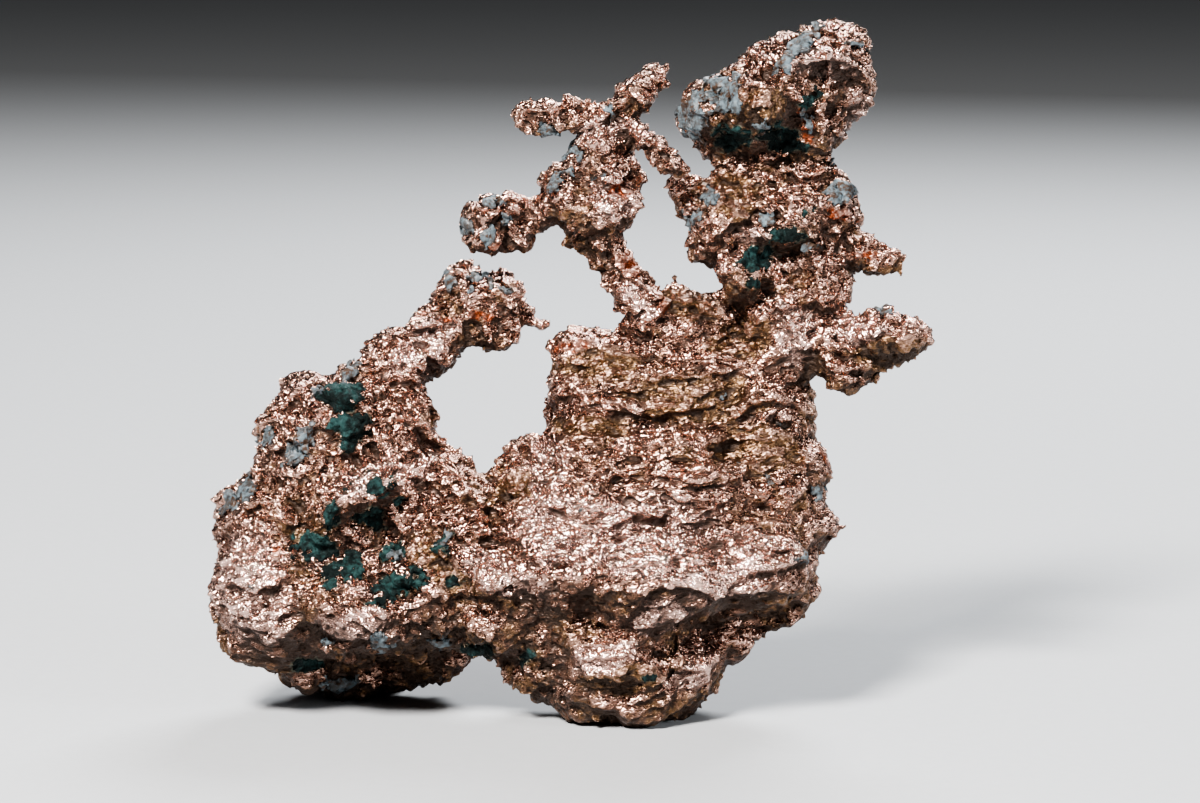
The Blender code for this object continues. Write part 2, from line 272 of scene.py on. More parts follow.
SHEET_RISE = math.radians(9.0)  # the sheet's folds climb to the right by this
STRETCH = 0.5  # patterns are squeezed to this along the folds, so that they run on there


def folded(mesh):
    """Laid-out places in millimetres, the same squeezed along the folds, and how folded each place is."""
    across, up, back = laid_out(read(mesh))
    sheet = rise(across, -3.0, 3.0) * rise(up, 40.0, 34.0) * rise(across, 28.0, 22.0)
    cheek = rise(across, -23.0, -28.0) * rise(up, 21.0, 15.0)
    along = across * math.cos(SHEET_RISE) + up * math.sin(SHEET_RISE)
    over = up * math.cos(SHEET_RISE) - across * math.sin(SHEET_RISE)
    over += 0.6 * np.sin(across / 4.4 + up / 7.0)
    places = np.stack([across, up, back], axis=1)
    return places, np.stack([along * STRETCH, over, back], axis=1), np.maximum(sheet, cheek)


def spread(heights_of, mesh):
    """Heights from a pattern that lies every way in most places and along the folds in others."""
    places, squeezed, share = folded(mesh)
    heights = np.zeros(len(places))
    for some, pattern, weight in ((share < 1.0, places, 1.0 - share), (share > 0.0, squeezed, share)):
        heights[some] += weight[some] * heights_of(pattern[some])
    return heights


# Crumpled metal: creases with rounded valleys between them. Size and height, in millimetres.
FOLDS, CREASES = (3.0, 0.28), (0.95, 0.18)


def crumple(mesh, size, height):
    def creases(places):
        return np.array([noise.ridged_multi_fractal(Vector(place) / size, 0.9, 2.1, 2, 1.0, 1.6) for place in places])

    heights = spread(creases, mesh)
    push(mesh, height * (heights - heights.mean()))


crumple(growth.data, *FOLDS)
regrid(growth, FINE)
crumple(growth.data, *CREASES)


def chances(cells, seed):
    """Three numbers from 0 to 1 for each cell of a grid, always the same for the same cell."""
    x, y, z = cells.T.astype(np.uint64)
    state = x * np.uint64(73856093) ^ y * np.uint64(19349663) ^ z * np.uint64(83492791)
    state += np.uint64(seed * 2654435761)
    found = []
    for _ in range(3):
        state = (state ^ (state >> np.uint64(29))) * np.uint64(6364136223846793005) + np.uint64(1442695040888963407)
        found.append((state >> np.uint64(40)).astype(np.float32) / np.float32(2.0**24))
    return np.stack(found, axis=1)


def grow_cells(places, size, seed, droop=0.0, crispness=30.0):
    """Cells that fill space: the height of each cell's leaning facet, and how far its middle is.

    Facets lean every way, and by droop more so that they jut out at their lower ends."""
    grid = (places / size).astype(np.float32)
    home = np.floor(grid).astype(np.int64)
    total, weight = np.zeros(len(grid), np.float32), np.zeros(len(grid), np.float32)
    nearest, lot = np.full(len(grid), 9.0, np.float32), np.zeros(len(grid), np.float32)
    for offset in itertools.product((-1, 0, 1), repeat=3):
        chance = chances(home + offset, seed)
        away = grid - (home + offset).astype(np.float32) - chance
        distance = (away**2).sum(axis=1)
        near = np.exp(-crispness * distance)
        lean = 2.0 * chance[:, [2, 0, 1]] - 1.0
        lean[:, 1] -= droop
        total += near * (away * lean).sum(axis=1)
        weight += near
        lot = np.where(distance < nearest, chance[:, 0], lot)
        nearest = np.minimum(nearest, distance)
    return size * total / weight, np.sqrt(nearest), lot


# Where the metal is cleanest its relief is finest and its colour lighter, as cleaner metal and as a
# painted highlight where the light falls most: across, up, half width, half height and turn.
CLEAN = [
    (0.0, 19.0, 6.4, 5.2, 0), (8.0, 18.6, 10.0, 5.6, 0), (16.0, 15.6, 10.0, 4.2, 12), (8.8, 10.6, 5.0, 2.4, 6),
    (-6.0, 14.6, 6.6, 2.8, -18), (-2.4, 23.6, 2.6, 6.0, 0), (3.0, 6.6, 4.6, 2.4, 20), (11.4, 4.2, 3.4, 1.6, 24),
    (-31.4, 13.0, 5.6, 8.6, 0), (-18.0, 24.0, 7.6, 2.4, 20), (-14.6, 37.2, 6.0, 2.6, 40), (-21.0, 9.8, 5.6, 2.4, 0),
    (3.6, 58.6, 5.0, 2.0, 10), (25.0, 65.0, 5.6, 2.6, -8), (28.6, 60.0, 2.0, 4.6, 0), (18.4, 48.2, 3.0, 1.6, 0),
    (4.6, 51.8, 3.0, 4.0, 0), (22.4, 38.0, 2.0, 4.6, 10), (28.6, 38.8, 4.6, 1.8, -20), (6.6, 41.6, 3.0, 2.0, -50),
]


def clean_depth(mesh):
    _, _, across, up = wandering(read(mesh))
    return np.max([stroke_shape(across, up, (*patch, 0.0), False) for patch in CLEAN], axis=0)


# Hackly relief: broad planes, plates over them and small facets, and burrs where the metal tore.
# Size, steepness, droop and seed.
FACETS = [(3.6, 0.22, 0.6, 7), (1.4, 0.30, 0.8, 3), (0.55, 0.35, 0.2, 5)]
BURR_SPACING, BURR_REACH, BURR_HEIGHT, BURR_SHARE = 0.8, 0.28, 0.65, 0.34
heights = np.zeros(len(growth.data.vertices))
for size, steepness, droop, seed in FACETS:
    heights += steepness * spread(lambda places: grow_cells(places, size, seed, droop)[0], growth.data)
_, middle, lot = grow_cells(folded(growth.data)[0], BURR_SPACING, 11)
burr = np.clip(1.0 - middle / BURR_REACH, 0.0, 1.0) * (lot < BURR_SHARE)
calm = 1.0 - 0.35 * clean_depth(growth.data)
push(growth.data, heights - heights.mean() + BURR_HEIGHT * burr * calm)

# Fewer and uneven triangles, which follow the creases, and feet that stay on the floor.
TRIANGLES = 620_000
finish_modifier(growth, "SMOOTH", factor=0.4, iterations=1)
finish_modifier(growth, "TRIANGULATE")
finish_modifier(growth, "DECIMATE", ratio=TRIANGLES / len(growth.data.polygons))
mesh = growth.data
points = read(mesh)
points[:, 2] = np.maximum(points[:, 2], 0.0)
write(mesh, points)


def keep(mesh, name, values):
    """Keeps a value for each vertex, which the materials read."""
    attribute = mesh.attributes.get(name) or mesh.attributes.new(name, "FLOAT", "POINT")
    attribute.data.foreach_set("value", values.astype(np.float32))


# How high each point stands over its surroundings, near and far, in millimetres, and how far it
# faces down. The copper's colour is painted lighter on what stands high, a painted highlight, and
# darker on what faces down, painted shade.
for name, facing, rounds in (("ridge", "lee", 6), ("swell", "under", 80)):
    smoothed = bpy.data.objects.new("smoothed", mesh.copy())
    bpy.context.scene.collection.objects.link(smoothed)
    finish_modifier(smoothed, "SMOOTH", factor=0.7, iterations=rounds)
    outward = read(smoothed.data, "normal")
    keep(mesh, name, ((read(mesh) - read(smoothed.data)) * outward).sum(axis=1) / MM)
    keep(mesh, facing, -outward[:, 2])
    bpy.data.objects.remove(smoothed)

# ---------------------------------------------------------------------------------------------
# Mineral crust, tarnish and copper's red oxide.
# Green and pale minerals filled the hollows that the copper grew around, and some of them still
# sticks there. Each patch is across, up, half width, half height and turn, on the front or the back.
TEAL_FRONT = [
    (-22.9, 32.3, 2.6, 1.5, 0), (-22.1, 28.8, 1.8, 2.7, -25), (-19.4, 19.9, 1.5, 1.6, 0),
    (-25.3, 17.2, 2.0, 1.9, 0), (-23.8, 14.6, 1.6, 1.6, 0), (-21.6, 15.6, 1.2, 2.2, 15),
    (-23.3, 20.3, 1.0, 1.5, 0), (-17.0, 13.5, 3.5, 1.3, 8), (-19.6, 12.0, 1.0, 0.8, 30),
    (-17.0, 21.5, 0.7, 0.6, 0), (-17.8, 16.5, 1.6, 1.2, 20), (-12.0, 17.9, 1.1, 1.1, 0),
    (-11.2, 13.9, 1.3, 0.8, 0), (-9.0, 6.8, 1.9, 1.0, -12), (-26.3, 5.4, 1.6, 1.0, 0),
    (-18.5, 23.3, 2.4, 0.8, 12), (-4.0, 6.3, 0.7, 1.2, 0), (8.0, 4.6, 0.8, 0.5, 20),
    (21.5, 57.7, 2.9, 1.5, 0), (19.4, 58.1, 1.5, 0.7, 0), (15.7, 57.7, 2.1, 1.3, 0),
    (24.2, 61.1, 0.8, 1.2, 0), (21.9, 48.4, 2.3, 1.1, 8), (18.7, 45.9, 2.2, 1.6, 20),
    (24.2, 50.4, 0.8, 0.6, 0), (17.7, 43.7, 1.0, 0.7, 0),
]
TEAL_BACK = [
    (-22.0, 24.0, 3.0, 2.0, 20), (-15.0, 15.0, 2.2, 3.0, 0), (-27.0, 14.0, 1.8, 1.6, 0),
    (5.0, 28.0, 3.2, 1.6, -10), (14.0, 20.0, 2.0, 2.4, 0), (19.0, 33.0, 1.6, 2.2, 0),
    (22.0, 50.0, 2.4, 1.8, 0), (22.0, 62.0, 2.0, 2.6, 0), (2.6, 53.0, 1.4, 1.8, 0),
]
PALE_FRONT = [
    (-25.2, 32.6, 1.2, 1.0, 0), (-21.9, 34.4, 0.8, 1.6, -30), (-30.3, 28.1, 1.1, 1.5, 0),
    (-26.6, 27.4, 0.9, 2.7, -25), (-32.3, 22.7, 1.0, 2.0, -25), (-34.2, 21.5, 0.8, 1.4, 0),
    (-17.4, 16.2, 1.0, 0.9, 0), (-11.8, 18.1, 0.8, 0.8, 0), (-24.3, 7.6, 1.0, 0.7, 0),
    (-18.5, 7.8, 1.4, 1.4, 0), (-22.9, 3.3, 2.6, 1.0, 6), (-30.9, 13.2, 0.5, 0.8, 0),
    (-13.0, 7.6, 1.2, 0.9, 0), (24.5, 22.4, 1.0, 1.4, 0), (22.9, 16.3, 0.7, 1.4, 0),
    (14.9, 32.1, 0.9, 0.5, 0), (20.0, 29.5, 0.6, 0.6, 0), (6.6, 31.0, 0.5, 0.4, 0),
    (8.7, 16.8, 0.4, 0.4, 0), (19.7, 23.8, 0.5, 0.5, 0), (1.5, 20.8, 0.6, 0.6, 0),
    (15.0, 61.9, 2.8, 2.4, 0), (12.1, 59.8, 1.7, 2.5, 0), (22.8, 66.5, 3.7, 0.9, 47),
    (28.5, 66.8, 0.9, 0.5, 0), (24.2, 59.8, 0.6, 1.1, 0), (18.4, 58.8, 1.0, 0.8, 0),
    (26.9, 52.6, 2.0, 1.3, 0), (13.8, 51.9, 1.2, 1.4, 0), (12.5, 49.9, 1.0, 1.2, 0),
    (23.7, 47.3, 1.2, 0.8, 0), (19.6, 49.8, 1.3, 0.9, 0), (0.5, 56.3, 1.1, 1.2, 0),
    (0.1, 54.2, 0.6, 0.7, 0), (-1.2, 53.0, 1.5, 1.1, 40), (3.2, 54.2, 0.7, 0.5, 0),
    (-10.4, 49.0, 1.0, 1.2, 0), (-7.9, 48.2, 1.3, 1.3, 0), (-7.5, 51.3, 1.4, 0.9, 0),
    (-6.2, 49.8, 0.6, 0.9, 0), (-11.8, 43.8, 1.0, 1.1, 0), (-9.9, 44.0, 0.7, 0.7, 0),
    (-8.2, 43.5, 0.9, 1.1, 0), (-6.4, 42.6, 1.0, 0.7, 0), (-10.3, 42.7, 0.5, 0.6, 0),
    (4.3, 60.5, 0.8, 0.8, 0), (31.5, 40.9, 1.4, 0.7, 0), (-2.2, 58.4, 0.8, 0.8, 0),
]
PALE_BACK = [
    (-19.0, 29.0, 2.0, 1.4, 30), (-29.0, 19.0, 1.4, 2.0, 0), (-9.0, 12.0, 1.8, 1.2, 0),
    (9.0, 33.0, 2.2, 1.2, 0), (0.0, 20.0, 1.6, 1.6, 0), (18.0, 26.0, 1.2, 2.0, 0),
    (18.0, 61.0, 2.2, 1.8, 0), (25.0, 55.0, 1.4, 1.2, 0), (-7.5, 49.0, 1.6, 1.4, 0),
]
RUST = [
    (-16.7, 29.5, 0.8, 0.8, 0), (27.1, 50.2, 1.6, 1.4, 0), (-12.3, 40.3, 1.6, 0.7, 10),
    (6.0, 45.4, 1.0, 2.2, 40), (-9.0, 40.2, 1.4, 1.0, 0), (29.5, 46.2, 2.4, 0.8, -15),
    (0.6, 37.2, 3.0, 0.9, 6), (26.6, 35.0, 0.8, 1.6, 0), (25.6, 26.0, 0.9, 2.4, 20),
    (5.2, 52.6, 1.4, 1.2, 0), (-7.6, 46.9, 2.4, 0.7, 0), (24.0, 59.0, 1.0, 2.0, 0),
    (-29.0, 17.4, 1.0, 1.0, 0), (9.5, 41.5, 1.2, 1.4, 40), (13.6, 52.6, 1.6, 1.0, 0),
]
GOLD = [
    (3.0, 35.2, 5.0, 2.2, 0), (13.0, 31.8, 8.0, 3.0, 0), (19.0, 26.8, 6.0, 3.2, 0),
    (-4.6, 22.8, 2.4, 2.6, 0), (12.2, 41.4, 3.4, 2.2, 0), (-13.8, 30.4, 1.6, 1.2, 0),
    (2.0, 29.0, 5.0, 1.4, -6), (-14.0, 16.6, 3.4, 2.6, 0), (17.0, 38.0, 4.0, 2.6, 0),
    (31.0, 36.6, 4.0, 1.6, 0), (4.6, 59.0, 2.4, 1.2, 0), (18.0, 60.2, 3.6, 2.6, 0),
    (15.8, 52.0, 4.0, 2.6, 0), (6.4, 4.6, 5.6, 1.8, 0), (-11.4, 14.0, 2.6, 1.4, 0),
]
def patch_depth(mesh, patches, side, outward):
    """How far inside the patches each point is, from 0 to 1, on the front (1) or the back (-1)."""
    _, _, across, up = wandering(read(mesh))
    facing = -side * (outward[:, 1] * math.cos(LEAN) - outward[:, 2] * math.sin(LEAN))
    depth = np.zeros(len(across))
    for patch in patches:
        depth = np.maximum(depth, stroke_shape(across, up, (*patch, 0.0), False) ** 0.67)
    return depth * np.clip(facing * 2.5 + 1.0, 0.0, 1.0)


def ragged(mesh, depth, size, amount):
    """The same depths with edges that wander, as a crust's do."""
    points = read(mesh) / (size * MM)
    wander = np.zeros(len(depth))
    for i in np.flatnonzero(depth > 0.0):
        wander[i] = noise.fractal(Vector(points[i]), 0.7, 2.1, 4)
    return np.where(depth > 0.0, depth + amount * wander, -1.0)


keep(mesh, "rust", patch_depth(mesh, RUST, 1, outward))
keep(mesh, "gold", patch_depth(mesh, GOLD, 1, outward))
keep(mesh, "clean_and_lit", clean_depth(mesh))
teal = np.maximum(patch_depth(mesh, TEAL_FRONT, 1, outward), patch_depth(mesh, TEAL_BACK, -1, outward))
pale = np.maximum(patch_depth(mesh, PALE_FRONT, 1, outward), patch_depth(mesh, PALE_BACK, -1, outward))
teal = ragged(mesh, teal, 1.1, 0.85)
pale = ragged(mesh, pale, 0.9, 0.60)
keep(mesh, "stain", np.clip(teal + 0.25, 0.0, 1.0))


# ---------------------------------------------------------------------------------------------
# The copper's finish: torn metal, painted lighter on the ridges and on what faces up as a painted
# highlight, and nearly black in the deep hollows and on what faces down as painted shade; brown and
# golden tarnish, browner on the undersides as painted shade; red oxide spots; and the crust of green
# and pale minerals.
class Value:
    """A socket of a material, with arithmetic that adds Math nodes."""

    def __init__(self, finish, socket):
        self.finish, self.socket = finish, socket

    def math(self, operation, *others):
        return self.finish.node("ShaderNodeMath", {"operation": operation}, dict(enumerate((self, *others))))

    def __add__(self, other):
        return self.math("ADD", other)

    def __sub__(self, other):
        return self.math("SUBTRACT", other)

    def __rsub__(self, other):
        return self.finish.node("ShaderNodeMath", {"operation": "SUBTRACT"}, {0: other, 1: self})

    def __mul__(self, other):
        return self.math("MULTIPLY", other)

    __radd__, __rmul__ = __add__, __mul__

    def ramp(self, low, high):
        """0 below low, 1 above high and smooth between them."""
        settings = {"interpolation_type": "SMOOTHSTEP", "clamp": True}
        return self.finish.node("ShaderNodeMapRange", settings, {"Value": self, "From Min": low, "From Max": high})


class Finish:
    """A material that is written as expressions."""

    def __init__(self, name):
        self.material = bpy.data.materials.new(name)
        self.material.use_nodes = True
        self.tree = self.material.node_tree
        self.shader = self.tree.nodes["Principled BSDF"]

    def node(self, kind, settings, inputs, output=0):
        made = self.tree.nodes.new(kind)
        for setting, value in settings.items():
            setattr(made, setting, value)
        for socket, value in inputs.items():
            self.feed(made.inputs[socket], value)
        return Value(self, made.outputs[output])

    def feed(self, socket, value):
        if isinstance(value, Value):
            self.tree.links.new(value.socket, socket)
        else:
            socket.default_value = value

    def shade(self, inputs):
        """Sets or feeds the shader's own sockets."""
        for name, value in inputs.items():
            self.feed(self.shader.inputs[name], value)

    def attribute(self, name):
        return self.node("ShaderNodeAttribute", {"attribute_name": name}, {}, "Fac")

    def millimetres(self):
        place = self.node("ShaderNodeTexCoord", {}, {}, "Object")
        return self.node("ShaderNodeVectorMath", {"operation": "SCALE"}, {0: place, "Scale": 1.0 / MM})

    def noise(self, place, size, detail=2.0, rough=0.5):
        return self.node("ShaderNodeTexNoise", {}, {"Vector": place, "Scale": 1.0 / size, "Detail": detail, "Roughness": rough})

    def creases(self, place, size):
        """Thin bright creases with hollows between them, as in crumpled foil, from about -0.5 to 0.5."""
        settings = {"noise_type": "RIDGED_MULTIFRACTAL", "normalize": False}
        inputs = {"Vector": place, "Scale": 1.0 / size, "Detail": 2.0, "Roughness": 0.55, "Offset": 1.0, "Gain": 2.0}
        return self.node("ShaderNodeTexNoise", settings, inputs) * 0.6 - 0.9

    def glints(self, place, size):
        """Heights, in millimetres, of flat facets of this size that each lean their own way."""
        cells = self.node("ShaderNodeTexVoronoi", {}, {"Vector": place, "Scale": 1.0 / size}, "Position")
        chance = self.node("ShaderNodeTexVoronoi", {}, {"Vector": place, "Scale": 1.0 / size}, "Color")
        away = self.node("ShaderNodeVectorMath", {"operation": "SUBTRACT"}, {0: place, 1: cells})
        lean = self.node("ShaderNodeVectorMath", {"operation": "SUBTRACT"}, {0: chance, 1: (0.5, 0.5, 0.5)})
        return self.node("ShaderNodeVectorMath", {"operation": "DOT_PRODUCT"}, {0: away, 1: lean}, "Value")

    def lots(self, place, size):
        """A value from -0.4 to 0.4 for each angular facet of this size."""
        chance = self.node("ShaderNodeTexVoronoi", {}, {"Vector": place, "Scale": 1.0 / size}, "Color")
        return self.node("ShaderNodeSeparateColor", {}, {"Color": chance}, "Red") * 0.8 - 0.4

    def bump(self, height, strength=1.0):
        """The bumps of a height in millimetres."""
        inputs = {"Strength": strength, "Distance": MM, "Height": height}
        self.shade({"Normal": self.node("ShaderNodeBump", {}, inputs)})

    def mix(self, share, low, high):
        """One colour where share is 0 and another where it is 1."""
        ends = {6: low, 7: high}
        ends = {key: end if isinstance(end, Value) else (*end, 1.0) for key, end in ends.items()}
        return self.node("ShaderNodeMix", {"data_type": "RGBA"}, {0: share, **ends}, 2)


copper = Finish("native_copper")
place = copper.millimetres()
ridge, swell, lee, under = (copper.attribute(name) for name in ("ridge", "swell", "lee", "under"))
under = under.math("MAXIMUM", 0.0)
speckle = copper.noise(place, 0.4, 3.0, 0.6) - 0.5
blotch = copper.noise(place, 1.6, 4.0, 0.6) - 0.5
cloud = copper.noise(place, 6.0, 3.0, 0.6) - 0.5
# Over the cleanest metal: less tarnish and a lighter colour, which is partly a painted highlight.
clean_and_lit = (copper.attribute("clean_and_lit") * 1.5 + blotch * 1.4 + speckle * 0.8).ramp(0.25, 0.95)
run = {"Vector": place, "Rotation": (0.0, -SHEET_RISE, 0.0), "Scale": (2.8, 1.0, 1.0)}
folded_place = copper.node("ShaderNodeMapping", {"vector_type": "TEXTURE"}, run)
creases = copper.creases(folded_place, 0.55)

lots = copper.lots(folded_place, 0.26) * 0.6 + copper.lots(folded_place, 0.13) * 0.6
# Painted light and shade: lighter on what stands high, on the crests of the creases and on what faces up, darker on
# what faces down, with random tone of the facets. hollow is painted shade, near black, and bright a painted
# highlight.
height = ridge * 3.8 + swell * 2.6 + speckle * 0.8 + creases * 0.25 + lots + clean_and_lit * 0.35 - lee * 0.9 - under * 1.5
hollow = (0.0 - height).ramp(0.1, 1.2)
bright = height.ramp(-0.1, 0.8)
# Brown and golden tarnish in patches, and more of it on the undersides as painted shade.
tarnish_and_shade = (
    copper.attribute("gold") * 1.5 - clean_and_lit * 1.6 + cloud * 3.0 + blotch * 2.6 + under * 0.5 + 0.10
).ramp(0.0, 0.9)
rusty = (copper.attribute("rust") * 1.5 + (copper.noise(place, 2.0, 4.0, 0.7) - 0.5) * 3.4 + speckle * 1.6 - 0.65).ramp(0.0, 0.5)

# Brown metal, turning rose to pale copper where bright paints a highlight.
metal = copper.mix(
    bright, copper.mix(clean_and_lit, (0.185, 0.098, 0.070), (0.31, 0.195, 0.16)), copper.mix(clean_and_lit, (0.60, 0.37, 0.292), (0.80, 0.548, 0.457))
)
metal = copper.mix(tarnish_and_shade * (1.0 - bright * 0.45), metal, (0.165, 0.094, 0.050))
metal = copper.mix(rusty * (1.0 - bright * 0.6), metal, (0.23, 0.055, 0.022))
# Painted shade: near black in the hollows and on what faces down.
metal = copper.mix(hollow * 0.92, metal, (0.028, 0.014, 0.008))
stain = (copper.attribute("stain") + blotch * 0.8).ramp(0.15, 0.6)
metal = copper.mix(stain * 0.45 * (1.0 - bright * 0.7), metal, (0.10, 0.13, 0.10))
copper.shade({
    "Base Color": metal,
    "Metallic": 1.0 - hollow * 0.55,
    "Roughness": 0.18 + tarnish_and_shade * 0.12 + hollow * 0.25 + rusty * 0.12,
})
copper.bump(creases * 0.10 + copper.glints(folded_place, 0.26) * 0.7 + copper.glints(folded_place, 0.12) * 0.9)
mesh.materials.clear()
mesh.materials.append(copper.material)
only(growth)
bpy.ops.object.shade_smooth_by_angle(angle=math.radians(28.0))


# ---------------------------------------------------------------------------------------------
# Green crust: dull copper mineral that filled the hollows between the metal and the rock, and still
# clings there. It lies over the metal as a thin, ragged, velvety skin, and goes a little into it.
def grow_crust(name, inside, rounds, thickness, roof):
    """A closed crust over the facets whose corners are inside, smoothed, and raised by roof."""
    crust = bpy.data.objects.new(name, mesh.copy())
    bpy.context.scene.collection.objects.link(crust)
    corners, sides = np.empty(len(mesh.loops), np.int32), np.empty(len(mesh.loops), np.int32)
    mesh.loops.foreach_get("vertex_index", corners)
    mesh.loops.foreach_get("edge_index", sides)
    ends = np.empty(len(mesh.edges) * 2, np.int32)
    mesh.edges.foreach_get("vertices", ends)
    corners, sides, ends = corners.reshape(-1, 3), sides.reshape(-1, 3), ends.reshape(-1, 2)
    outside = (inside[corners] <= 0.0).any(axis=1)
    while True:  # where two patches only touch at a corner, both end before it
        rim = np.bincount(sides[~outside].ravel(), minlength=len(ends)) == 1
        pinched = np.bincount(ends[rim].ravel(), minlength=len(inside)) > 2
        if not pinched.any():
            break
        outside |= pinched[corners].any(axis=1)
    only(crust)
    bpy.ops.object.mode_set(mode="EDIT")
    bpy.ops.mesh.select_mode(type="FACE")
    bpy.ops.mesh.select_all(action="DESELECT")
    bpy.ops.object.mode_set(mode="OBJECT")
    crust.data.polygons.foreach_set("select", outside)
    bpy.ops.object.mode_set(mode="EDIT")
    bpy.ops.mesh.delete(type="FACE")
    bpy.ops.mesh.select_all(action="SELECT")
    bpy.ops.mesh.delete_loose()
    bpy.ops.object.mode_set(mode="OBJECT")
    finish_modifier(crust, "SMOOTH", factor=0.5, iterations=rounds)
    values = np.empty(len(crust.data.vertices), np.float32)
    crust.data.attributes["depth"].data.foreach_get("value", values)
    push(crust.data, roof(read(crust.data), values))
    finish_modifier(crust, "SOLIDIFY", thickness=thickness * MM, offset=-1.0, use_rim=True)
    points = read(crust.data)
    points[:, 2] = np.maximum(points[:, 2], 0.0)
    write(crust.data, points)
    return crust


TEAL_EDGE, TEAL_ROOF = 0.14, 0.16
keep(mesh, "depth", teal - TEAL_EDGE)


def teal_roof(points, depth):
    tufts = grow_cells(points / MM, 0.55, 21)[1]
    return TEAL_ROOF * np.clip(depth * 2.5, 0.0, 1.0) * (0.1 + 1.4 * (1.0 - tufts)) + 0.02


green_crust = grow_crust("green_crust", teal - TEAL_EDGE, 2, 0.35, teal_roof)
green = Finish("green_crust")
place = green.millimetres()
fleck = green.noise(place, 0.55, 4.0, 0.65)
tone = (fleck + (green.noise(place, 3.0, 2.0) - 0.5) * 1.1).ramp(0.38, 0.72)
velvet = green.mix(tone, (0.002, 0.006, 0.0055), (0.016, 0.044, 0.042))
edge = (0.14 - green.attribute("depth") + (fleck - 0.5) * 0.5).ramp(0.0, 0.12)
velvet = green.mix(edge * 0.8, velvet, (0.045, 0.078, 0.082))
green.shade({"Base Color": velvet, "Roughness": 0.75, "Specular IOR Level": 0.16})
green.bump(green.glints(place, 0.25) * 0.8 + fleck * 0.12)
green_crust.data.materials.clear()
green_crust.data.materials.append(green.material)
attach(green_crust, "root")

# ---------------------------------------------------------------------------------------------
# Pale grains: rounded blue-grey grains and a vein of a clear mineral that the copper grew around.
# They are held in the metal, which wraps their edges.
PALE_EDGE, PALE_ROOF, GRAIN = 0.14, 0.42, 1.15
keep(mesh, "depth", pale - PALE_EDGE)


def pale_roof(points, depth):
    middle = grow_cells(points / MM, GRAIN, 31)[1]
    dome = np.sqrt(np.clip(1.0 - (middle / 0.75) ** 2, 0.0, 1.0))
    return PALE_ROOF * np.clip(depth * 2.5, 0.0, 1.0) * (0.25 + 0.75 * dome) + 0.02


pale_grains = grow_crust("pale_grains", pale - PALE_EDGE, 6, 0.45, pale_roof)
stone = Finish("pale_crust")
place = stone.millimetres()
tone = (stone.noise(place, 0.9, 4.0, 0.6) + (stone.noise(place, 0.35, 2.0) - 0.5) * 0.5).ramp(0.32, 0.70)
cloudy = stone.mix(tone, (0.040, 0.038, 0.036), (0.115, 0.152, 0.174))
dirt = (stone.noise(place, 0.5, 4.0, 0.7) + (stone.noise(place, 2.4, 2.0) - 0.5) * 0.6).ramp(0.50, 0.62)
cloudy = stone.mix(dirt, cloudy, (0.045, 0.024, 0.014))
stone.shade({"Base Color": cloudy, "Roughness": 0.36 + tone * 0.2, "Specular IOR Level": 0.35})
stone.bump(stone.glints(place, 0.6) * 0.35 + stone.noise(place, 0.3, 2.0) * 0.05)
pale_grains.data.materials.clear()
pale_grains.data.materials.append(stone.material)
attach(pale_grains, "root")
mesh.attributes.remove(mesh.attributes["depth"])

# ---------------------------------------------------------------------------------------------
# The stretches of the growth, parted at the forks so that each can be held and shown by itself.
# Every facet goes to the solid it lies nearest to, and the heavy base is parted three times more.
CUTS = (-27.5, -9.8, 10.8)  # where the base is cut across, clear of its forks
CHIP = 400  # facets: what the relief cuts off at a fork and is smaller goes with what surrounds it
BASE = ["cheek", "lobe", "saddle", "body"]
STRETCHES = [*BASE, *(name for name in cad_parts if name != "base")]
corners, triangles, owner = [], [], []
for name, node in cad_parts.items():
    triangles += [[len(corners) + v for v in polygon.vertices] for polygon in node.data.polygons]
    owner += [STRETCHES.index(name if name != "base" else BASE[0])] * len(node.data.polygons)
    corners += [vertex.co.copy() for vertex in node.data.vertices]
solids = BVHTree.FromPolygons(corners, triangles)
polygons = len(mesh.polygons)
centres = np.empty(polygons * 3, np.float32)
mesh.polygons.foreach_get("center", centres)
centres = centres.reshape(-1, 3).astype(float)
across, up, back = laid_out(centres)
label = np.array([owner[solids.find_nearest(centre)[2]] for centre in centres])
base = label == 0
label[base] = np.searchsorted(CUTS, across[base])

# Facets that share an edge and a stretch belong together.
edge_of_corner = np.empty(len(mesh.loops), np.int32)
mesh.loops.foreach_get("edge_index", edge_of_corner)
order = np.argsort(edge_of_corner, kind="stable")
facets = np.repeat(np.arange(polygons), 3)[order]
edges = edge_of_corner[order]
pairs = np.flatnonzero(edges[1:] == edges[:-1])
one, other = facets[pairs], facets[pairs + 1]
for rounds in range(4):
    votes = np.zeros((polygons, len(STRETCHES)), np.int8)
    np.add.at(votes, (one, label[other]), 1)
    np.add.at(votes, (other, label[one]), 1)
    label = np.where(votes.max(axis=1) > 1, votes.argmax(axis=1), label)
group = np.arange(polygons)
same = label[one] == label[other]
while True:
    low = np.minimum(group[one[same]], group[other[same]])
    lower = group.copy()
    np.minimum.at(lower, one[same], low)
    np.minimum.at(lower, other[same], low)
    lower = lower[lower]
    if (lower == group).all():
        break
    group = lower
_, group, sizes = np.unique(group, return_inverse=True, return_counts=True)
for chip in np.flatnonzero(sizes < CHIP):
    rim = (group[one] == chip) != (group[other] == chip)
    around = np.where(group[one[rim]] == chip, other[rim], one[rim])
    if len(around):
        label[group == chip] = np.bincount(label[around]).argmax()

pieces = []
for number, name in enumerate(STRETCHES):
    growth.data.polygons.foreach_set("select", label == number)
    only(growth)
    bpy.ops.object.mode_set(mode="EDIT")
    bpy.ops.mesh.select_mode(type="FACE")
    bpy.ops.mesh.separate(type="SELECTED")
    bpy.ops.object.mode_set(mode="OBJECT")
    piece = next(obj for obj in bpy.context.selected_objects if obj != growth)
    label = label[label != number]
    piece.name = name + "_copper"
    pieces.append((piece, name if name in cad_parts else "base"))

SKIRT, SKIRT_SMOOTHING, SMALL_LOOP = 0.4, 4, 8  # how far a skirt goes in, in millimetres


